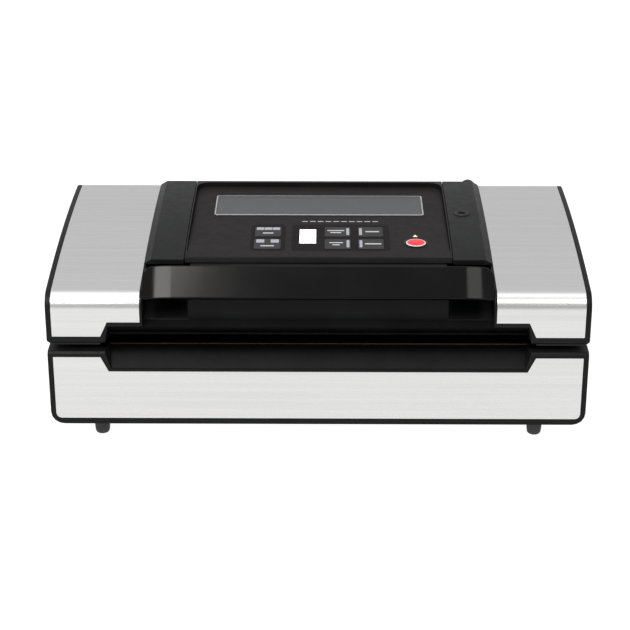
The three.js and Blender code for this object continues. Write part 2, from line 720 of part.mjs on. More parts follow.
function consoleBody() {
  const rings = CONSOLE_STATIONS.map((u) => [
    [-SEAM + 0.2, u, crown(u) + GAP],
    [SEAM - 0.2, u, crown(u) + GAP],
    [SEAM - 0.2, u, consoleTop(u)],
    [-SEAM + 0.2, u, consoleTop(u)],
  ]);
  const bay = [
    [88, 155.5], [248, 155.5], [248, crown(248) + 1], [200, crown(200) + 1], [150, crown(150) + 1],
    [88, crown(88) + 1],
  ];
  const brow = [[50, 150], [60, 150], [60.5, 154], [63, 160.4], [63, 170], [50, 170]];
  return loft(rings)
    .add(sideways(bay, -SEAM + 0.2, SEAM - 0.2))
    .subtract(sideways(brow, -130, 130))
    .subtract(panelCut(PANEL.half, PANEL.front, PANEL.back, -MEMBRANE - GAP, 20, PANEL.corner))
    .subtract(panelCut(PANEL.half - 5, PANEL.front + 12, PANEL.back - 6, -20, 20, PANEL.corner - 4));
}

function shoulder(side) {
  const rings = CONSOLE_STATIONS.map((u) => {
    const low = crown(u) + GAP;
    const high = consoleTop(u);
    const ring = [
      [SEAM + 0.2, u, low], [CONSOLE_HALF, u, low], [CONSOLE_HALF, u, low + 0.9],
      [153.6, u, high], [SEAM + 0.2, u, high],
    ].map(([x, y, z]) => [x * side, y, z]);
    return side > 0 ? ring : ring.reverse();
  });
  const cover = loft(rings);
  return side > 0
    ? cover.subtract(upwards(circle(PORT.x, PORT.u, 5.3, 16), 140, 190))
      .subtract(upwards(circle(PORT.x, PORT.u, PORT.flange + GAP, 20), consoleTop(PORT.u) - 2, 190))
    : cover;
}

function canisterPort() {
  const top = consoleTop(PORT.u);
  return upwards(circle(PORT.x, PORT.u, PORT.flange, 20), top - 1.7, top + 0.6)
    .add(upwards(circle(PORT.x, PORT.u, PORT.tube, 16), 146, top - 1))
    .subtract(upwards(circle(PORT.x, PORT.u, PORT.bore, 16), 140, top + 2));
}

add('console', consoleBody(), 'black');
for (const side of [-1, 1]) {
  add(`shoulder_cover_${sideName(side)}`, shoulder(side), 'black');
}
add('canister_port', canisterPort(), 'gloss');

// The control panel lies in its own tilted plane: x across, y back from its front edge, z out.
const panel = new THREE.Group();
panel.position.set(0, PANEL.front, PANEL.frontZ);
panel.rotation.x = PANEL_TILT;
machine.add(panel);

const WINDOW = { half: 101.5, front: 102.5, back: 155 };
const DISPLAY = { x0: -18.2, x1: -2.5, front: 32, back: 67.5 };
const PULSE = { x: 91, y: 32.5, radius: 9.2 };
const BOARD = { half: 112, front: 24.5, back: 170, z: -8, parts: 158 };
const KEYS = [
  { name: 'key_sealing', x0: -60.6, x1: -35.4, row: 1 },
  { name: 'key_pressure', x0: -60.6, x1: -35.4, row: 0 },
  { name: 'key_vacuum_seal', x0: 5.5, x1: 30, row: 1 },
  { name: 'key_manual_seal', x0: 5.5, x1: 30, row: 0 },
  { name: 'key_canister', x0: 37, x1: 61, row: 1 },
  { name: 'key_marinate', x0: 37, x1: 61, row: 0 },
];
const ROWS = [{ front: 18, back: 41.8 }, { front: 48.5, back: 72 }];

const keyOutline = (key, grow) => rounded(
  key.x0 - grow,
  ROWS[key.row].front - grow,
  key.x1 + grow,
  ROWS[key.row].back + grow,
  KEY.corner + grow,
  2,
);

function membrane() {
  const length = PANEL.back - PANEL.front;
  let sheet = upwards(
    rounded(-PANEL.half + GAP, GAP, PANEL.half - GAP, length - GAP, PANEL.corner - GAP),
    -MEMBRANE,
    0,
  );
  for (const key of KEYS) {
    sheet = sheet.subtract(upwards(keyOutline(key, GAP), -5, 5));
  }
  sheet = sheet.subtract(upwards(circle(PULSE.x, PULSE.y, PULSE.radius + GAP, 24), -5, 5));
  sheet = sheet.subtract(upwards(
    rounded(-WINDOW.half - GAP, WINDOW.front - GAP, WINDOW.half + GAP, WINDOW.back + GAP, 3, 2),
    -5,
    5,
  ));
  return sheet.subtract(block(
    DISPLAY.x0 - GAP,
    DISPLAY.x1 + GAP,
    DISPLAY.front - GAP,
    DISPLAY.back + GAP,
    -5,
    5,
  ));
}

function windowPane() {
  const { half, front, back } = WINDOW;
  return upwards(rounded(-half, front, half, back, 2.7, 2), -3, 0.5)
    .subtract(upwards(rounded(-half + 3, front + 3, half - 3, back - 3, 1.5, 2), -5, -1));
}

function controlBoard() {
  const { half, front, back, z, parts } = BOARD;
  let board = block(-half, half, front, back, z, z + 1.6);
  for (let i = 0; i < 5; i += 1) {
    const x = -88 + i * 44;
    board = board.add(block(x - 1.5, x + 1.5, parts, parts + 3, z + 1, z + 3.4));
  }
  return board;
}

add('membrane_panel', membrane(), 'membrane', panel);
add('window_pane', windowPane(), 'glass', panel);
add('display', block(DISPLAY.x0, DISPLAY.x1, DISPLAY.front, DISPLAY.back, -4, -0.2), 'display', panel);
add('control_board', controlBoard(), 'board', panel);
for (const key of KEYS) {
  add(key.name, upwards(keyOutline(key, 0), KEY.proud - KEY.thickness, KEY.proud), 'key', panel);
}
add('pulse_button', upwards(circle(PULSE.x, PULSE.y, PULSE.radius, 24), -3.5, 1.5), 'red', panel);

// ---------------------------------------------------------------- locking handle

// The grip leans back: its face runs from (-2, 146) up to (16, 170) when the handle is raised.
const GRIP = { u: -2, z: 146, height: 30, thickness: 7, corner: 9 };
const LEAN = Math.atan2(24, 18);

function grip() {
  const { height, thickness, corner } = GRIP;
  const face = [
    [-HANDLE_HALF, 0], [HANDLE_HALF, 0],
    ...arc(HANDLE_HALF - corner, height - corner, corner, 0, 90, 4),
    ...arc(-HANDLE_HALF + corner, height - corner, corner, 90, 180, 4),
  ];
  const slab = extrude(face, thickness).translate(0, 0, -thickness);
  return solid(slab.rotateX(LEAN).translate(0, GRIP.u, GRIP.z));
}

function handleArm(side) {
  const hub = arc(PIVOT.u, PIVOT.z, 8, 90, -100, 8);
  const web = [[4.4, 143.2], [18, 167], [57, 152.4], ...hub];
  const hollow = [[11, 130], [12.5, 148], [22, 159.5], [54, 147.6], [58, 141], [58, 130]];
  const [x0, x1] = across(side, ARM.inner, ARM.outer);
  const [h0, h1] = across(side, ARM.inner + 3, ARM.outer - 3);
  return sideways(web, x0, x1).subtract(sideways(hollow, h0, h1));
}

function handleBody() {
  const bore = sideways(circle(PIVOT.u, PIVOT.z, SHAFT_RADIUS + GAP, 16), -200, 200);
  return grip().add(both(handleArm)).subtract(bore);
}

// Points about the pivot: an angle of 0 hangs straight down and grows towards the back.
const hang = (radius, angle) => [
  PIVOT.u + radius * Math.sin(rad(angle)),
  PIVOT.z - radius * Math.cos(rad(angle)),
];

function hook(side) {
  const [x0, x1] = across(side, HOOK.inner, HOOK.outer);
  const arm = [hang(8, -55), hang(HOOK.noseOuter, -22), hang(HOOK.noseOuter, -13), hang(8, 20)];
  const angles = [-22, -14.75, -7.5, -0.25, 7];
  const nose = [
    ...angles.map((a) => hang(HOOK.noseOuter, a)),
    ...angles.map((a) => hang(HOOK.noseInner, a)).reverse(),
  ];
  return sideways(circle(PIVOT.u, PIVOT.z, 8, 16), x0, x1)
    .add(sideways(arm, x0, x1))
    .add(sideways(nose, x0, x1))
    .subtract(sideways(circle(PIVOT.u, PIVOT.z, SHAFT_RADIUS + GAP, 16), x0 - 1, x1 + 1));
}

add('handle', handleBody(), 'gloss');
add('lock_shaft', sideways(circle(PIVOT.u, PIVOT.z, SHAFT_RADIUS, 16), -231, 231), 'steel');
for (const side of [-1, 1]) {
  add(`lock_hook_${sideName(side)}`, hook(side), 'darkSteel');
}

// The origin is the middle of the whole footprint, on the ground.
const extent = new THREE.Box3().setFromObject(machine);
machine.position.y = -(extent.min.y + extent.max.y) / 2;
machine.updateMatrixWorld(true);

export default machine;
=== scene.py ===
import json
import math

import bmesh
import bpy
from mathutils import Matrix, Vector

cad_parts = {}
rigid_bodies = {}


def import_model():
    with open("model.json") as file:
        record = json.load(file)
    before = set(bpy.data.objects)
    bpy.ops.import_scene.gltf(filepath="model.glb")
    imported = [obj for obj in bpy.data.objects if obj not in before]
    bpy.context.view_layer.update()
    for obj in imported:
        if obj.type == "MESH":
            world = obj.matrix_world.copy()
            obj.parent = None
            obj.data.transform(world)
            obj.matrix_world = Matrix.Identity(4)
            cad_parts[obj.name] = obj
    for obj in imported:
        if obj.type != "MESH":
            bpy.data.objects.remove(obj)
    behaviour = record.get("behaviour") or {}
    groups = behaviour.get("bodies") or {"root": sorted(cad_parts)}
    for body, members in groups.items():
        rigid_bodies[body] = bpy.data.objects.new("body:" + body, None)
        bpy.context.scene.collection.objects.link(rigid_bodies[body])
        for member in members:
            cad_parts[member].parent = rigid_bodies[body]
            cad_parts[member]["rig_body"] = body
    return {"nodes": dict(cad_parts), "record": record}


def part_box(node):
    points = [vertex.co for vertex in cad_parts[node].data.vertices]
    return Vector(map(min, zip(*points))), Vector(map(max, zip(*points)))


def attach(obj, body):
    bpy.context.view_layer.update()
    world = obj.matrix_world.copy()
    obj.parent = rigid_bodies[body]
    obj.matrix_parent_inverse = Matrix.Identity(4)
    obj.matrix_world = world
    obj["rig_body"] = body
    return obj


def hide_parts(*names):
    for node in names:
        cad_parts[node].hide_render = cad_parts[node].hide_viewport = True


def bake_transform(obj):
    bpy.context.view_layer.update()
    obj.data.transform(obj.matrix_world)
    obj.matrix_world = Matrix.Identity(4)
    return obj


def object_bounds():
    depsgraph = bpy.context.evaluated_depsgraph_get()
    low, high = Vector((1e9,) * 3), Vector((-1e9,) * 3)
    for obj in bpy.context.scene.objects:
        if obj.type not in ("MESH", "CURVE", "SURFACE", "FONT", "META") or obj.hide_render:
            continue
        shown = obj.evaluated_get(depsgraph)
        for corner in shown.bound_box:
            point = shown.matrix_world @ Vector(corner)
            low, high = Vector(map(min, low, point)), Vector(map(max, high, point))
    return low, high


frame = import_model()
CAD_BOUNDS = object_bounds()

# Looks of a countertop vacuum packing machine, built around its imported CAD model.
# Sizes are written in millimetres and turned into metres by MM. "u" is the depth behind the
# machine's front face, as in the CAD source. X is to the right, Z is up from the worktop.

MM = 0.001
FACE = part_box("front_fascia")[0].y
WELD = 2e-6
FLAT_ANGLE = math.radians(0.25)
SMOOTH_ANGLE = math.radians(32)
SHARP_ANGLE = math.radians(30)
ROUND_SIDES = 48
CORNER_STEPS = 5
SLOT_OF = {part["node"]: part["material_slot"] for part in frame["record"]["subparts"]}
BODY_OF = {name: node["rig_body"] for name, node in frame["nodes"].items()}
SIDES = ("left", "right")
KEYS = [name for name in frame["nodes"] if name.startswith("key_")]


def at(x, u, z):
    """A point given by its place across, its depth behind the front face and its height."""
    return Vector((x * MM, FACE + u * MM, z * MM))


# ------------------------------------------------------------------ material building

LOOKS = {}


def add_node(material, kind, values=None, **settings):
    """Adds a node. Each value is a number for an input, or another node's output to link to it."""
    tree = material.node_tree
    node = tree.nodes.new(kind)
    for name, setting in settings.items():
        setattr(node, name, setting)
    for name, value in (values or {}).items():
        if isinstance(value, bpy.types.NodeSocket):
            tree.links.new(value, node.inputs[name])
        else:
            node.inputs[name].default_value = value
    return node


def new_look(name, metallic=0.0, specular=0.5):
    material = bpy.data.materials.new(name)
    material.use_nodes = True
    shader = material.node_tree.nodes["Principled BSDF"]
    shader.inputs["Metallic"].default_value = metallic
    shader.inputs["Specular IOR Level"].default_value = specular
    LOOKS[name] = material
    return material


def feed(material, name, source):
    """Links a node output to an input of the material's shader, or sets a plain number."""
    socket = material.node_tree.nodes["Principled BSDF"].inputs[name]
    if isinstance(source, bpy.types.NodeSocket):
        material.node_tree.links.new(source, socket)
    else:
        socket.default_value = source


def place(material):
    return add_node(material, "ShaderNodeTexCoord").outputs["Object"]


def grain(material, scale, stretch=(1, 1, 1), detail=2.0):
    """Noise with the given number of grains a metre, drawn out along an axis by a small stretch."""
    mapped = add_node(material, "ShaderNodeMapping", {"Vector": place(material), "Scale": stretch})
    values = {"Vector": mapped.outputs[0], "Scale": scale, "Detail": detail}
    return add_node(material, "ShaderNodeTexNoise", values).outputs["Fac"]


def ramp(material, source, stops):
    """Turns a number into a colour. Each stop is a place and a grey value or a colour."""
    node = add_node(material, "ShaderNodeValToRGB", {"Fac": source})
    elements = node.color_ramp.elements
    while len(elements) < len(stops):
        elements.new(0.5)
    for element, (position, color) in zip(elements, stops):
        element.position = position
        element.color = (color, color, color, 1) if isinstance(color, float) else (*color, 1)
    return node.outputs["Color"]


def calculate(material, operation, *sources):
    node = add_node(material, "ShaderNodeMath", dict(enumerate(sources)), operation=operation)
    return node.outputs[0]


def spread(material, source, low, high):
    """The share of the way that a number lies between a low and a high value."""
    values = {0: source, 1: low, 2: high, 3: 0.0, 4: 1.0}
    return add_node(material, "ShaderNodeMapRange", values).outputs[0]


def bump(material, source, height):
    values = {"Height": source, "Distance": height * MM, "Strength": 1.0}
    feed(material, "Normal", add_node(material, "ShaderNodeBump", values).outputs[0])


def moulded(name, dark, light, roughness, texture=1800, height=0.02, specular=0.5):
    """Moulded plastic or rubber: cloudy colour, uneven polish and a fine spark-eroded texture."""
    look = new_look(name, specular=specular)
    cloud = grain(look, 35, detail=5.0)
    feed(look, "Base Color", ramp(look, cloud, [(0.3, dark), (0.7, light)]))
    low, high = roughness
    feed(look, "Roughness", ramp(look, grain(look, 160, detail=3.0), [(0.3, low), (0.7, high)]))
    bump(look, grain(look, texture), height)


def brushed(name, color, roughness):
    """Steel sheet brushed along X."""
    look = new_look(name, metallic=1.0)
    broad = grain(look, 1, stretch=(2.5, 320, 320), detail=3.0)
    fine = grain(look, 1, stretch=(9, 1500, 1500), detail=2.0)
    dark = tuple(0.92 * c for c in color)
    feed(look, "Base Color", ramp(look, broad, [(0.25, dark), (0.75, color)]))
    low, high = roughness
    feed(look, "Roughness", ramp(look, fine, [(0.3, low), (0.7, high)]))
    bump(look, fine, 0.002)


def machined(name, color, roughness):
    """Turned, cast or plated metal with faint marks."""
    look = new_look(name, metallic=1.0)
    spots = grain(look, 420, detail=4.0)
    dark = tuple(0.82 * c for c in color)
    feed(look, "Base Color", ramp(look, spots, [(0.35, dark), (0.65, color)]))
    feed(look, "Roughness", ramp(look, spots, [(0.3, roughness), (0.7, roughness + 0.12)]))
    bump(look, grain(look, 900, stretch=(0.2, 1, 1)), 0.01)


def polished(name, color, roughness, specular=0.5):
    """Glossy plastic with the faint haze that hands leave on it."""
    look = new_look(name, specular=specular)
    haze = grain(look, 22, detail=6.0)
    light = tuple(1.35 * c for c in color)
    feed(look, "Base Color", ramp(look, haze, [(0.35, color), (0.7, light)]))
    feed(look, "Roughness", ramp(look, haze, [(0.3, roughness), (0.75, roughness + 0.06)]))
    bump(look, grain(look, 60), 0.01)


THREAD_PITCH = 0.8


def woven(name, dark, light):
    """Coated glass cloth: crossing threads under a satin coat."""
    look = new_look(name, specular=0.15)
    threads = 2 * math.pi / (THREAD_PITCH * MM)
    axes = add_node(look, "ShaderNodeSeparateXYZ", {0: place(look)})
    waves = []
    for axis in ("X", "Y"):
        turned = calculate(look, "MULTIPLY", axes.outputs[axis], threads)
        waves.append(calculate(look, "SINE", turned))
    share = spread(look, calculate(look, "MULTIPLY", *waves), -1.0, 1.0)
    feed(look, "Base Color", ramp(look, share, [(0.2, dark), (0.8, light)]))
    feed(look, "Roughness", 0.42)
    bump(look, share, 0.05)


def foam(name, dark, light):
    """Closed-cell foam with small pores."""
    look = new_look(name, specular=0.2)
    pores = add_node(look, "ShaderNodeTexVoronoi", {"Vector": place(look), "Scale": 900.0})
    cells = pores.outputs["Distance"]
    feed(look, "Base Color", ramp(look, cells, [(0.1, dark), (0.6, light)]))
    feed(look, "Roughness", 0.92)
    bump(look, cells, 0.15)


def mix_surface(look, share, first, second):
    """Shows a mixture of two shaders on the surface."""
    mixed = add_node(look, "ShaderNodeMixShader", {0: share, 1: first, 2: second})
    output = look.node_tree.nodes["Material Output"]
    look.node_tree.links.new(mixed.outputs[0], output.inputs["Surface"])


def clear(name, tint, haze):
    """Clear moulded plastic: partly see-through, with a glossy grey face."""
    look = new_look(name, specular=0.6)
    dust = grain(look, 120, detail=4.0)
    feed(look, "Base Color", ramp(look, dust, [(0.3, tint), (0.7, tuple(1.15 * c for c in tint))]))
    feed(look, "Roughness", 0.08)
    through = add_node(look, "ShaderNodeBsdfTransparent").outputs[0]
    shader = look.node_tree.nodes["Principled BSDF"].outputs[0]
    mix_surface(look, haze, through, shader)


def lit(name, color, strength):
    """A lit window or display behind a diffusing film."""
    look = new_look(name)
    film = ramp(look, grain(look, 300), [(0.3, tuple(0.94 * c for c in color)), (0.7, color)])
    feed(look, "Base Color", film)
    feed(look, "Emission Color", film)
    feed(look, "Emission Strength", strength)
    feed(look, "Roughness", 0.35)


def make_looks():
    moulded("black_abs", (0.0045, 0.0047, 0.0050), (0.0062, 0.0065, 0.0069), (0.34, 0.42), specular=0.09)
    moulded("dark_plastic", (0.012, 0.012, 0.013), (0.016, 0.016, 0.0172), (0.38, 0.48), specular=0.15)
    rubber = {"texture": 1200, "specular": 0.25}
    moulded("rubber", (0.030, 0.030, 0.031), (0.040, 0.040, 0.041), (0.6, 0.75), **rubber)
    film = {"texture": 2600, "height": 0.004, "specular": 0.04}
    moulded("membrane", (0.0104, 0.0090, 0.0093), (0.0120, 0.0104, 0.0107), (0.42, 0.5), **film)
    moulded("panel_ink", (0.0032, 0.0020, 0.0023), (0.0040, 0.0027, 0.0030), (0.4, 0.46), **film)
    moulded("key_grey", (0.026, 0.0265, 0.027), (0.030, 0.0305, 0.031), (0.42, 0.5), **film)
    moulded("red_silicone", (0.42, 0.05, 0.04), (0.50, 0.07, 0.055), (0.5, 0.62), texture=700)
    moulded("circuit_board", (0.015, 0.09, 0.04), (0.02, 0.12, 0.055), (0.3, 0.4), texture=500)
    moulded("board_grey", (0.050, 0.055, 0.062), (0.058, 0.063, 0.071), (0.5, 0.6), height=0.001)
    moulded("white_ink", (0.62, 0.62, 0.62), (0.70, 0.70, 0.70), (0.4, 0.5), **film)
    moulded("grey_ink", (0.30, 0.30, 0.315), (0.36, 0.36, 0.375), (0.4, 0.5), **film)
    moulded("silver_print", (0.48, 0.48, 0.49), (0.56, 0.56, 0.57), (0.3, 0.4), **film)
    polished("gloss_black", (0.0012, 0.0012, 0.0013), 0.11, specular=0.13)
    polished("red_button", (0.68, 0.012, 0.020), 0.2, specular=0.25)
    brushed("brushed_steel", (0.60, 0.60, 0.60), (0.24, 0.32))
    machined("zinc_steel", (0.42, 0.43, 0.44), 0.3)
    machined("aluminium", (0.55, 0.56, 0.57), 0.32)
    machined("brass", (0.55, 0.40, 0.15), 0.25)
    woven("ptfe_tape", (0.18, 0.085, 0.043), (0.30, 0.14, 0.07))
    foam("foam_seal", (0.010, 0.010, 0.011), (0.030, 0.030, 0.032))
    clear("clear_window", (0.040, 0.042, 0.047), 0.6)
    clear("clear_rim", (0.26, 0.27, 0.27), 0.75)
    lit("display_white", (0.95, 0.95, 0.95), 0.5)
    lit("lamp_window", (0.24, 0.25, 0.28), 0.05)


# ------------------------------------------------------------------ mesh building


def dress(piece, look, body):
    """Gives a new piece its material and the body that it rides on."""
    piece.data.materials.clear()
    piece.data.materials.append(LOOKS[look])
    if body:
        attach(piece, body)


def to_piece(name, bm):
    """A new object from a bmesh, smooth except where faces meet at more than SMOOTH_ANGLE."""
    bmesh.ops.recalc_face_normals(bm, faces=bm.faces)
    mesh = bpy.data.meshes.new(name)
    bm.to_mesh(mesh)
    bm.free()
    mesh.shade_smooth()
    mesh.set_sharp_from_angle(angle=SMOOTH_ANGLE)
    piece = bpy.data.objects.new(name, mesh)
    bpy.context.scene.collection.objects.link(piece)
    weighted = piece.modifiers.new("weighted_normals", "WEIGHTED_NORMAL")
    weighted.keep_sharp = True
    return piece


def bare_copy(name):
    """The CAD node's surface with its flat faces merged, as a bmesh."""
    source = frame["nodes"][name].data
    bm = bmesh.new()
    verts = [bm.verts.new(vertex.co) for vertex in source.vertices]
    for polygon in source.polygons:
        bm.faces.new([verts[i] for i in polygon.vertices])
    bmesh.ops.remove_doubles(bm, verts=bm.verts, dist=WELD)
    bmesh.ops.dissolve_limit(bm, angle_limit=FLAT_ANGLE, verts=bm.verts, edges=bm.edges)
    return bm


ROOM_SHARED = 2.1
ROOM_ALONE = 1.1
NEARLY_STRAIGHT = -0.8


def has_room(edge, chosen, width):
    """True if the edges that meet this one are long enough for it to be rounded."""
    for vertex in edge.verts:
        along = (edge.other_vert(vertex).co - vertex.co).normalized()
        for other in vertex.link_edges:
            if other is edge:
                continue
            way = (other.other_vert(vertex).co - vertex.co).normalized()
            if along.dot(way) < NEARLY_STRAIGHT:
                continue
            needed = ROOM_SHARED if other in chosen else ROOM_ALONE
            if other.calc_length() < needed * width * MM:
                return False
    return True


def round_edges(bm, width, segments=2, where=None):
    """Rounds the outer sharp edges that have room, or only those for which where(edge) is true."""
    chosen = {
        edge for edge in bm.edges
        if edge.is_convex
        and edge.calc_face_angle(0) > SHARP_ANGLE
        and (where is None or where(edge))
    }
    roomy = [edge for edge in chosen if has_room(edge, chosen, width)]
    bmesh.ops.bevel(
        bm, geom=roomy, offset=width * MM, offset_type="OFFSET", segments=segments,
        profile=0.5, affect="EDGES", clamp_overlap=False, miter_outer="SHARP",
    )


def refined(name, width, look=None, segments=2, shape=None):
    """A copy of a CAD node with rounded edges, which stands for it. shape(bm) may work on it first."""
    bm = bare_copy(name)
    if shape:
        shape(bm)
    round_edges(bm, width, segments)
    piece = to_piece(f"{name}_skin", bm)
    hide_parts(name)
    dress(piece, look or SLOT_OF[name], BODY_OF[name])


def slice_at(bm, point, normal):
    """Adds edges where a plane meets the mesh."""
    everything = bm.verts[:] + bm.edges[:] + bm.faces[:]
    bmesh.ops.bisect_plane(bm, geom=everything, plane_co=point, plane_no=normal)


def smoothing():
    """A node group that shades faces smooth, with crisp edges where they meet at a larger angle."""
    group = bpy.data.node_groups.new("smooth_by_angle", "GeometryNodeTree")
    group.interface.new_socket("Geometry", in_out="INPUT", socket_type="NodeSocketGeometry")
    group.interface.new_socket("Geometry", in_out="OUTPUT", socket_type="NodeSocketGeometry")
    nodes, links = group.nodes, group.links
    start = nodes.new("NodeGroupInput")
    faces = nodes.new("GeometryNodeSetShadeSmooth")
    edges = nodes.new("GeometryNodeSetShadeSmooth")
    edges.domain = "EDGE"
    edges.inputs["Shade Smooth"].default_value = False
    angle = nodes.new("GeometryNodeInputMeshEdgeAngle")
    compare = nodes.new("ShaderNodeMath")
    compare.operation = "GREATER_THAN"
    compare.inputs[1].default_value = SMOOTH_ANGLE
    end = nodes.new("NodeGroupOutput")
    links.new(start.outputs[0], faces.inputs["Geometry"])
    links.new(faces.outputs[0], edges.inputs["Geometry"])
    links.new(angle.outputs["Unsigned Angle"], compare.inputs[0])
    links.new(compare.outputs[0], edges.inputs["Selection"])
    links.new(edges.outputs[0], end.inputs[0])
    return group


SMOOTHING = smoothing()


def carried(name, width=0.3, look=None):
    """A CAD node that stays: its edges are rounded by modifiers, and it gets its material."""
    node = frame["nodes"][name]
    weld = node.modifiers.new("weld", "WELD")
    weld.merge_threshold = WELD
    merge = node.modifiers.new("merge_flat_faces", "DECIMATE")
    merge.decimate_type = "DISSOLVE"
    merge.angle_limit = FLAT_ANGLE
    edges = node.modifiers.new("round_edges", "BEVEL")
    edges.width = width * MM
    edges.segments = 2
    edges.limit_method = "ANGLE"
    edges.angle_limit = math.radians(35)
    smooth = node.modifiers.new("smooth", "NODES")
    smooth.node_group = SMOOTHING
    material = LOOKS[look or SLOT_OF[name]]
    if not node.material_slots:
        node.data.materials.append(material)
    for slot in node.material_slots:
        slot.link = "OBJECT"
        slot.material = material


def circle(x, y, radius):
    """Corner points of a circle, anticlockwise."""
    turns = [2 * math.pi * i / ROUND_SIDES for i in range(ROUND_SIDES)]
    return [(x + radius * math.cos(turn), y + radius * math.sin(turn)) for turn in turns]


def lathe(name, centre, profile):
    """A turned piece round a vertical axis through centre. The profile is [radius, height] in mm."""
    bm = bmesh.new()
    rings = []
    for radius, height in profile:
        points = circle(0, 0, radius) if radius > 0 else [(0, 0)]
        rings.append([bm.verts.new(centre + Vector((x, y, height)) * MM) for x, y in points])
    for low, high in zip(rings, rings[1:]):
        for i in range(ROUND_SIDES):
            j = (i + 1) % ROUND_SIDES
            corners = [low[i % len(low)], low[j % len(low)], high[j % len(high)], high[i % len(high)]]
            unique = list(dict.fromkeys(corners))
            if len(unique) > 2:
                bm.faces.new(unique)
    return to_piece(name, bm)


def rounded_outline(x0, x1, y0, y1, corner):
    """Corner points of a rounded rectangle, anticlockwise."""
    points = []
    centres = [(x1 - corner, y0 + corner), (x1 - corner, y1 - corner),
               (x0 + corner, y1 - corner), (x0 + corner, y0 + corner)]
    for quarter, (x, y) in enumerate(centres):
        for i in range(CORNER_STEPS + 1):
            angle = math.pi / 2 * (quarter - 1 + i / CORNER_STEPS)
            points.append((x + corner * math.cos(angle), y + corner * math.sin(angle)))
    return points


def slab(bm, outline, low, high, where):
    """A closed flat body between two heights, with every point placed by where(x, y, z)."""
    bottom = [bm.verts.new(where(x, y, low)) for x, y in outline]
    top = [bm.verts.new(where(x, y, high)) for x, y in outline]
    bm.faces.new(list(reversed(bottom)))
    bm.faces.new(top)
    count = len(outline)
    for i in range(count):
        j = (i + 1) % count
        bm.faces.new([bottom[i], bottom[j], top[j], top[i]])


def tube(name, path, radius, sides=32):
    """A closed tube along a path of points in mm, with a radius for each point."""
    bm = bmesh.new()
    rings = []
    for i, point in enumerate(path):
        ahead = path[min(i + 1, len(path) - 1)]
        behind = path[max(i - 1, 0)]
        forward = (ahead - behind).normalized()
        across = Vector((1, 0, 0))
        up = forward.cross(across).normalized()
        ring = []
        for s in range(sides):
            angle = 2 * math.pi * s / sides
            offset = (across * math.cos(angle) + up * math.sin(angle)) * radius(i)
            ring.append(bm.verts.new(at(*(point + offset))))
        rings.append(ring)
    for low, high in zip(rings, rings[1:]):
        for s in range(sides):
            t = (s + 1) % sides
            bm.faces.new([low[s], low[t], high[t], high[s]])
    bm.faces.new(rings[0])
    bm.faces.new(rings[-1])
    return to_piece(name, bm)


def smooth_path(points, steps):
    """Evenly many points along a smooth curve through the given ones."""
    knots = [2 * points[0] - points[1], *points, 2 * points[-1] - points[-2]]
    path = []
    for a, b, c, d in zip(knots, knots[1:], knots[2:], knots[3:]):
        for i in range(steps):
            t = i / steps
            path.append(0.5 * (2 * b + (c - a) * t + (2 * a - 5 * b + 4 * c - d) * t * t
                               + (3 * b - a - 3 * c + d) * t ** 3))
    path.append(points[-1])
    return path


# ------------------------------------------------------------------ shells

OUTER_HALF = CAD_BOUNDS[1].x
OUTER_ROUND = 1.4
LONG_EDGE = 2 * MM


def on_outside(edge):
    """True for the long edges round the machine's flat sides."""
    flush = all(abs(abs(vertex.co.x) - OUTER_HALF) < 0.01 * MM for vertex in edge.verts)
    return flush and edge.calc_length() > LONG_EDGE


def soft_outside(bm):
    round_edges(bm, OUTER_ROUND, segments=4, where=on_outside)


def make_shells():
    refined("base_shell", 0.5, shape=soft_outside)
    refined("lid_shell", 0.5, shape=soft_outside)
    refined("console", 0.5)
    refined("lid_liner", 0.6)
    for side in SIDES:
        refined(f"shoulder_cover_{side}", 0.6, segments=3)
        refined(f"steel_cover_{side}", 0.25)
    refined("front_fascia", 0.25)


# ------------------------------------------------------------------ control panel

FILM = 1.2
FILM_GAP = 0.3
film_low, film_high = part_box("membrane_panel")
film_rise = film_high.z - film_low.z - FILM * MM
TILT = math.atan2(film_rise, film_high.y - film_low.y)
PANEL_TURN = Matrix.Rotation(TILT, 3, "X")
PANEL_ORIGIN = Vector((0, film_low.y - FILM_GAP * MM, film_high.z - film_rise))
INK = 0.05


def on_panel(x, y, z):
    """A point on the control panel: across, back from its front edge, and out of its film."""
    return PANEL_ORIGIN + PANEL_TURN @ (Vector((x, y, z)) * MM)


def panel_box(name):
    """A node's x0, x1, y0, y1 on the panel, in mm."""
    low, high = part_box(name)
    reach = math.cos(TILT)
    return (low.x / MM, high.x / MM,
            (low.y - PANEL_ORIGIN.y) / MM / reach, (high.y - PANEL_ORIGIN.y) / MM / reach)


def printed(name, shapes, look, body="lid", height=0.0):
    """Flat marks on the panel. Each shape is x0, x1, y0, y1 and a corner radius."""
    bm = bmesh.new()
    for x0, x1, y0, y1, corner in shapes:
        slab(bm, rounded_outline(x0, x1, y0, y1, corner), height, height + INK, on_panel)
    dress(to_piece(name, bm), look, body)


def panel_ring(name, loops):
    """A closed ring on the panel. Its section goes through the given outlines and heights."""
    bm = bmesh.new()
    rings = [[bm.verts.new(on_panel(x, y, z)) for x, y in outline] for outline, z in loops]
    count = len(rings[0])
    for a, b in zip(rings, rings[1:] + rings[:1]):
        for i in range(count):
            j = (i + 1) % count
            bm.faces.new([a[i], a[j], b[j], b[i]])
    return to_piece(name, bm)


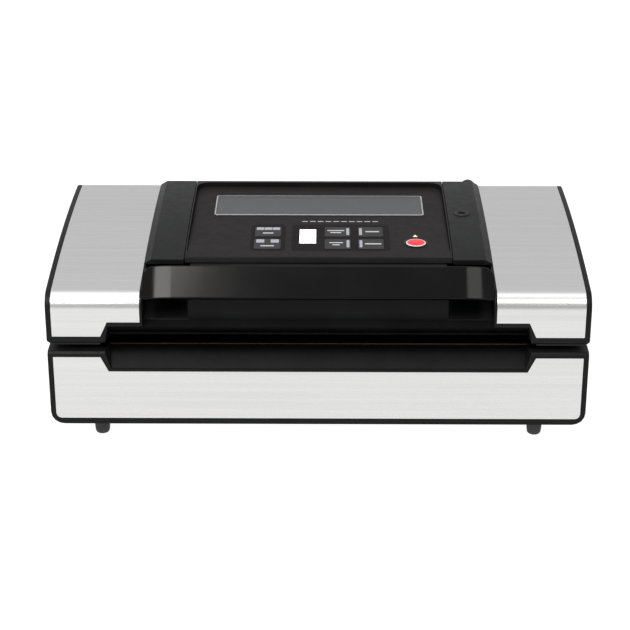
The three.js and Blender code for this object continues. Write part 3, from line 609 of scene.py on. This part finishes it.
# Each key's lamp windows are shares of its width and depth: x0, x1, y0, y1.
END_LAMP = {"right": [(0.84, 0.95, 0.14, 0.86)], "left": [(0.05, 0.16, 0.14, 0.86)]}
LAMPS = {
    "key_sealing": [(0.06, 0.34, 0.66, 0.93), (0.36, 0.64, 0.66, 0.93), (0.66, 0.94, 0.66, 0.93)],
    "key_pressure": [(0.08, 0.38, 0.60, 0.93), (0.62, 0.92, 0.60, 0.93)],
    "key_vacuum_seal": END_LAMP["right"],
    "key_manual_seal": END_LAMP["right"],
    "key_canister": END_LAMP["left"],
    "key_marinate": END_LAMP["left"],
}
# Plain bars stand where a maker would print each key's label.
BARS = {
    "key_sealing": [(0.30, 0.70, 0.27, 0.38)],
    "key_pressure": [(0.25, 0.75, 0.22, 0.33)],
    "key_vacuum_seal": [(0.10, 0.76, 0.56, 0.66), (0.22, 0.64, 0.34, 0.44)],
    "key_manual_seal": [(0.18, 0.70, 0.56, 0.66), (0.30, 0.58, 0.34, 0.44)],
    "key_canister": [(0.30, 0.84, 0.44, 0.56)],
    "key_marinate": [(0.26, 0.90, 0.44, 0.56)],
}
KEY_PROUD = 0.5
MARK_HEIGHT = KEY_PROUD - 0.01
LAMP_CORNER = 0.7
BAR_CORNER = 0.4


def key_marks(name, shares, corner):
    """Places on the panel of marks that are given as shares of a key."""
    x0, x1, y0, y1 = panel_box(name)
    width, depth = x1 - x0, y1 - y0
    return [(x0 + a * width, x0 + b * width, y0 + c * depth, y0 + d * depth, corner)
            for a, b, c, d in shares]


def make_keys():
    for name in KEYS:
        refined(name, 0.35, segments=3)
        body = BODY_OF[name]
        lamps = key_marks(name, LAMPS[name], LAMP_CORNER)
        printed(f"{name}_lamps", lamps, "lamp_window", body, MARK_HEIGHT)
        bars = key_marks(name, BARS[name], BAR_CORNER)
        printed(f"{name}_bars", bars, "grey_ink", body, MARK_HEIGHT)


INK_CORNER = 5.0
INK_FRONT = 3.9
INK_BACK = 6.9
INK_RISE = 0.02
INK_GAP = 0.25


def group_outline(names, left, right):
    """The outline of the printed field round a group of keys."""
    boxes = [panel_box(name) for name in names]
    return rounded_outline(
        min(b[0] for b in boxes) - left, max(b[1] for b in boxes) + right,
        min(b[2] for b in boxes) - INK_FRONT, max(b[3] for b in boxes) + INK_BACK, INK_CORNER,
    )


def cut_out(bm, boxes):
    """Takes rectangular holes out of the flat ink round the keys and the display."""
    for x0, x1, y0, y1 in boxes:
        inside = [
            face for face in bm.faces
            if x0 < face.calc_center_median().x / MM < x1
            and y0 < (face.calc_center_median().y - PANEL_ORIGIN.y) / MM < y1
        ]
        bmesh.ops.delete(bm, geom=inside, context="FACES")


def ink_field(name, names, left, right):
    """A dark printed field round a group of keys, open where the keys and the display stand."""
    bm = bmesh.new()
    outline = group_outline(names, left, right)
    bm.faces.new([bm.verts.new(on_panel(x, y, INK_RISE)) for x, y in outline])
    boxes = [panel_box(key) for key in names]
    holes = [(a - INK_GAP, b + INK_GAP, c - INK_GAP, d + INK_GAP) for a, b, c, d in boxes]
    for a, b, c, d in holes:
        for x in (a, b):
            slice_at(bm, on_panel(x, 0, 0), (1, 0, 0))
        for y in (c, d):
            slice_at(bm, on_panel(0, y, 0), PANEL_TURN @ Vector((0, 1, 0)))
    cut_out(bm, holes)
    grown = bmesh.ops.extrude_face_region(bm, geom=bm.faces[:])
    lift = PANEL_TURN @ Vector((0, 0, INK * MM))
    upper = [item for item in grown["geom"] if isinstance(item, bmesh.types.BMVert)]
    bmesh.ops.translate(bm, vec=lift, verts=upper)
    bmesh.ops.dissolve_limit(bm, angle_limit=math.radians(0.5), verts=bm.verts, edges=bm.edges)
    dress(to_piece(name, bm), "panel_ink", "lid")


MARK_CORNER = 0.5
# A row of short lines midway between the keys and the window, in the place of a printed note.
NOTE_COUNT = 10
NOTE_PITCH = 7.5
NOTE_LENGTH = 5.5
NOTE_DEPTH = 1.5
NOTE_INSET = 2


def make_panel():
    refined("membrane_panel", 0.2)
    ink_field("ink_field_left", ["key_sealing", "key_pressure"], 3.4, 4.4)
    right = ["display", "key_vacuum_seal", "key_manual_seal", "key_canister", "key_marinate"]
    ink_field("ink_field_right", right, 7.2, 5.8)
    x0, x1, y0, y1 = panel_box("display")
    lines = [(x0 + 1, x1 - 1, y0 - 6.5, y0 - 5.0, MARK_CORNER)]
    keys_back = max(panel_box(name)[3] for name in KEYS)
    middle = (keys_back + panel_box("window_pane")[2]) / 2
    for i in range(NOTE_COUNT):
        start = x0 + NOTE_INSET + NOTE_PITCH * i
        front, back = middle - NOTE_DEPTH / 2, middle + NOTE_DEPTH / 2
        lines.append((start, start + NOTE_LENGTH, front, back, MARK_CORNER))
    printed("panel_lines", lines, "grey_ink")
    carried("display")


RIM_WIDTH = 1.3
RIM_LOW = 0.45
RIM_HIGH = 0.95
# Pairs of solder pads spread over the control board, seen through the window.
PAD_PAIRS = 5
PAD_NEAR = 3.1
PAD_SIZE = 1.4
PAD_GAP = 6
PAD_CORNER = 0.6
BOARD_TOP = -6.4


def make_window():
    refined("window_pane", 0.5, segments=3)
    x0, x1, y0, y1 = panel_box("window_pane")
    outer = rounded_outline(x0 - 0.1, x1 + 0.1, y0 - 0.1, y1 + 0.1, 2.8)
    inner = rounded_outline(x0 + RIM_WIDTH, x1 - RIM_WIDTH, y0 + RIM_WIDTH, y1 - RIM_WIDTH, 1.6)
    rim = panel_ring("window_rim", [
        (outer, RIM_LOW), (outer, RIM_HIGH - 0.2), (inner, RIM_HIGH), (inner, RIM_LOW),
    ])
    dress(rim, "clear_rim", "lid")
    carried("control_board", look="board_grey")
    board_left, board_right = panel_box("control_board")[:2]
    front = y1 + PAD_GAP
    pads = []
    for i in range(PAD_PAIRS):
        middle = board_left + (board_right - board_left) / PAD_PAIRS * (i + 0.5)
        for left in (middle - PAD_NEAR - PAD_SIZE, middle + PAD_NEAR):
            pads.append((left, left + PAD_SIZE, front, front + PAD_SIZE, PAD_CORNER))
    printed("board_pads", pads, "brass", height=BOARD_TOP + INK_RISE)


ARROW_HALF = 2.4
ARROW_LENGTH = 4.8
ARROW_GAP = 7


def make_pulse():
    low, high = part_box("pulse_button")
    centre = Vector(((low.x + high.x) / 2, (low.y + high.y) / 2, high.z))
    radius = (high.x - low.x) / 2 / MM
    x0, x1, y0, y1 = panel_box("pulse_button")
    x, y = (x0 + x1) / 2, (y0 + y1) / 2
    top = centre - Vector((0, 0, 1.0 * MM))
    cap = lathe("pulse_cap", top, [
        (0, -3.8), (radius - 0.1, -3.8), (radius - 0.1, -0.2), (radius - 0.35, 0.15),
        (radius - 0.9, 0.3), (radius - 1.6, 0.32), (radius - 3, 0.5), (radius - 6, 0.75), (0, 0.85),
    ])
    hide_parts("pulse_button")
    dress(cap, "red_button", "pulse")
    ring = lathe("pulse_light_ring", top, [
        (radius - 0.95, 0.2), (radius - 0.3, 0.2), (radius - 0.1, 0.0), (radius, -0.4),
        (radius - 0.02, 0.12), (radius - 0.3, 0.42), (radius - 0.95, 0.42),
    ])
    dress(ring, "silver_print", "pulse")
    outer = circle(x, y, radius + 2.0)
    inner = circle(x, y, radius + 0.45)
    collar = panel_ring("pulse_collar", [(outer, 0.02), (outer, 0.35), (inner, 0.75), (inner, 0.02)])
    dress(collar, "gloss_black", "lid")
    bm = bmesh.new()
    foot = y1 + ARROW_GAP
    corners = [(x - ARROW_HALF, foot), (x + ARROW_HALF, foot), (x, foot + ARROW_LENGTH)]
    slab(bm, corners, INK_RISE, INK_RISE + INK, on_panel)
    dress(to_piece("pulse_arrow", bm), "white_ink", "lid")


PORT_BORE = 3.4
PORT_DEPTH = 18


def make_port():
    low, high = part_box("canister_port")
    centre = Vector(((low.x + high.x) / 2, (low.y + high.y) / 2, high.z))
    outer = (high.x - low.x) / 2 / MM
    port = lathe("canister_port_body", centre, [
        (outer, -2.2), (outer, -0.35), (outer - 0.4, 0.0), (outer - 1.5, 0.0), (outer - 2.0, -0.5),
        (outer - 2.7, -0.5), (outer - 3.0, 0.05), (outer - 3.8, 0.1), (PORT_BORE + 0.1, -0.4),
        (PORT_BORE, -1.2), (PORT_BORE, -PORT_DEPTH), (PORT_BORE + 1.4, -PORT_DEPTH),
        (PORT_BORE + 1.4, -2.2), (outer, -2.2),
    ])
    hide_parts("canister_port")
    dress(port, "dark_plastic", "lid")


# ------------------------------------------------------------------ handle and feet

CURVE_START = 131
CURVE_RADIUS = 60
CURVE_STEPS = 9
CURVE_STEP = 3
GRIP_FOOT = at(0, -2, 146)
GRIP_BACK = Vector((0, 24, -18)).normalized()
GRIP_THICKNESS = 7


def bend_handle_ends(bm):
    """The grip's face curves back towards both ends, while its back stays flat."""
    for step in range(CURVE_STEPS):
        for side in (-1, 1):
            cut = side * (CURVE_START + CURVE_STEP * step) * MM
            slice_at(bm, (cut, 0, 0), (1, 0, 0))
    for vertex in bm.verts:
        behind = (vertex.co - GRIP_FOOT).dot(GRIP_BACK) / MM
        past = abs(vertex.co.x) / MM - CURVE_START
        if past > 0 and behind < GRIP_THICKNESS:
            sink = CURVE_RADIUS - math.sqrt(CURVE_RADIUS ** 2 - past ** 2)
            vertex.co += GRIP_BACK * sink * (1 - behind / GRIP_THICKNESS) * MM


def make_handle():
    refined("handle", 0.9, segments=3, shape=bend_handle_ends)


# A tapered rubber foot with a rounded tread and a screw recess, as [radius, height].
FOOT_PROFILE = [
    (0, 0.5), (2.5, 0.5), (3.0, 0), (4.4, 0), (5.4, 0.3), (6.1, 1.0), (6.5, 2.2), (6.75, 4),
    (7.6, 15), (7.8, 17.6), (8.0, 18.1), (8.0, 18.6), (3, 18.6), (3, 23.4), (0, 23.4),
]


def make_feet():
    for name in [node for node in frame["nodes"] if node.startswith("foot_")]:
        low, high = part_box(name)
        centre = Vector(((low.x + high.x) / 2, (low.y + high.y) / 2, 0))
        foot = lathe(f"{name}_pad", centre, FOOT_PROFILE)
        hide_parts(name)
        dress(foot, "rubber", "base")


# ------------------------------------------------------------------ conduit

CONDUIT_X = 150.6
# Each path is a list of a depth behind the front face and a height.
ELBOW_PATH = [(252, 156), (259, 156), (267, 153), (271.1, 145.4), (272, 136.5), (272, 122)]
ELBOW_RADIUS = 7.7
ELBOW_STEPS = 6
ELBOW_GROOVES = (23, 29)
HOSE_PATH = [
    (272, 121.7), (272, 110), (272, 98), (272, 84), (270.8, 74), (266, 67.6), (259, 66), (253, 66),
]
HOSE_RADIUS = 5.6
HOSE_STEPS = 16
HOSE_SIDES = 24
GROOVE_DEPTH = 0.5


def conduit_path(points, steps):
    return smooth_path([Vector((CONDUIT_X, u, z)) for u, z in points], steps)


def elbow_radius(i):
    return ELBOW_RADIUS - (GROOVE_DEPTH if i in ELBOW_GROOVES else 0)


def hose_radius(i):
    return HOSE_RADIUS - GROOVE_DEPTH * math.cos(math.pi * i / 2)


def make_conduit():
    elbow = tube("conduit_elbow_cap", conduit_path(ELBOW_PATH, ELBOW_STEPS), elbow_radius)
    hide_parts("conduit_elbow")
    dress(elbow, "black_abs", "lid")
    path = conduit_path(HOSE_PATH, HOSE_STEPS)
    hose = tube("conduit_corrugated_hose", path, hose_radius, HOSE_SIDES)
    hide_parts("conduit_hose")
    dress(hose, "rubber", None)
    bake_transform(hose)


# ------------------------------------------------------------------ seals and inner parts


def make_seals_and_fittings():
    refined("lower_gasket", 1.4, segments=4)
    refined("upper_gasket", 1.2, segments=4)
    refined("pressure_strip", 1.2, segments=4)
    refined("ptfe_tape", 0.12)
    refined("drip_tray", 0.6, segments=3)
    refined("power_inlet", 0.5, segments=3)


ROUNDING = {"seal_bar": 0.4, "heating_element": 0.08, "power_rocker": 0.5}
USUAL_ROUNDING = 0.3


def keep_the_rest():
    """Every CAD node that nothing stands for keeps its shape and gets its material."""
    for name, node in frame["nodes"].items():
        if not node.hide_render and not node.modifiers:
            carried(name, ROUNDING.get(name, USUAL_ROUNDING))


# ------------------------------------------------------------------ stage

CAMERA = {"place": (7.6, -1664.2, 808.1), "pitch": 24.0, "yaw": 0.39, "lens": 106.6}
FLOOR_HALF = 12
FLOOR_GLOW = 0.94
# Brightness of the studio: ahead (0), overhead (0.5) and behind (1).
SKY = [(0.0, 0.4), (0.5, 0.9), (1.0, 0.6)]
SKY_STRENGTH = 1.2


def make_floor():
    """A pale glowing floor that can be seen through from below."""
    look = new_look("pale_floor", specular=0.0)
    feed(look, "Base Color", ramp(look, grain(look, 3, detail=2.0), [(0.3, 0.20), (0.7, 0.22)]))
    feed(look, "Emission Color", (1, 1, 1, 1))
    feed(look, "Emission Strength", FLOOR_GLOW)
    feed(look, "Roughness", 0.7)
    through = add_node(look, "ShaderNodeBsdfTransparent").outputs[0]
    below = add_node(look, "ShaderNodeNewGeometry").outputs["Backfacing"]
    shader = look.node_tree.nodes["Principled BSDF"].outputs[0]
    mix_surface(look, below, shader, through)
    bm = bmesh.new()
    bmesh.ops.create_grid(bm, x_segments=1, y_segments=1, size=FLOOR_HALF)
    mesh = bpy.data.meshes.new("floor")
    bm.to_mesh(mesh)
    bm.free()
    floor = bpy.data.objects.new("floor", mesh)
    bpy.context.scene.collection.objects.link(floor)
    mesh.materials.append(look)


def make_world():
    """Soft light from all round. Its brightness follows the angle from the front over the top."""
    world = bpy.data.worlds.new("studio")
    bpy.context.scene.world = world
    world.use_nodes = True
    way = add_node(world, "ShaderNodeTexCoord").outputs["Generated"]
    axes = add_node(world, "ShaderNodeSeparateXYZ", {0: way})
    forward = calculate(world, "MULTIPLY", axes.outputs["Y"], -1.0)
    angle = calculate(world, "ARCTAN2", axes.outputs["Z"], forward)
    share = calculate(world, "DIVIDE", angle, math.pi)
    background = world.node_tree.nodes["Background"]
    world.node_tree.links.new(ramp(world, share, SKY), background.inputs["Color"])
    background.inputs["Strength"].default_value = SKY_STRENGTH


LIGHT_TARGET = Vector((0, 0, 100)) * MM


def softbox(name, place_mm, width, height, power, color=(1, 1, 1)):
    """A soft rectangular light that faces the middle of the machine."""
    lamp = bpy.data.lights.new(name, "AREA")
    lamp.shape = "RECTANGLE"
    lamp.size = width * MM
    lamp.size_y = height * MM
    lamp.energy = power
    lamp.color = color
    light = bpy.data.objects.new(name, lamp)
    light.location = Vector(place_mm) * MM
    aim = LIGHT_TARGET - light.location
    light.rotation_euler = aim.to_track_quat("-Z", "Y").to_euler()
    bpy.context.scene.collection.objects.link(light)


def make_lights():
    softbox("left_softbox", (-950, -1560, 1800), 1200, 1000, 60, (1.0, 0.97, 0.92))
    softbox("right_softbox", (1000, -1560, 1800), 1000, 900, 14, (1.0, 0.98, 0.95))
    softbox("top_softbox", (0, -100, 2400), 2400, 1200, 8)


def make_camera():
    data = bpy.data.cameras.new("camera")
    data.lens = CAMERA["lens"]
    camera = bpy.data.objects.new("camera", data)
    camera.location = Vector(CAMERA["place"]) * MM
    camera.rotation_euler = (math.radians(90 - CAMERA["pitch"]), 0, math.radians(CAMERA["yaw"]))
    bpy.context.scene.collection.objects.link(camera)
    bpy.context.scene.camera = camera
    bpy.context.scene.view_settings.view_transform = "Standard"


# ------------------------------------------------------------------ put together

make_looks()
make_shells()
make_keys()
make_panel()
make_window()
make_pulse()
make_port()
make_handle()
make_feet()
make_conduit()
make_seals_and_fittings()
keep_the_rest()
make_floor()
make_world()
make_lights()
make_camera()
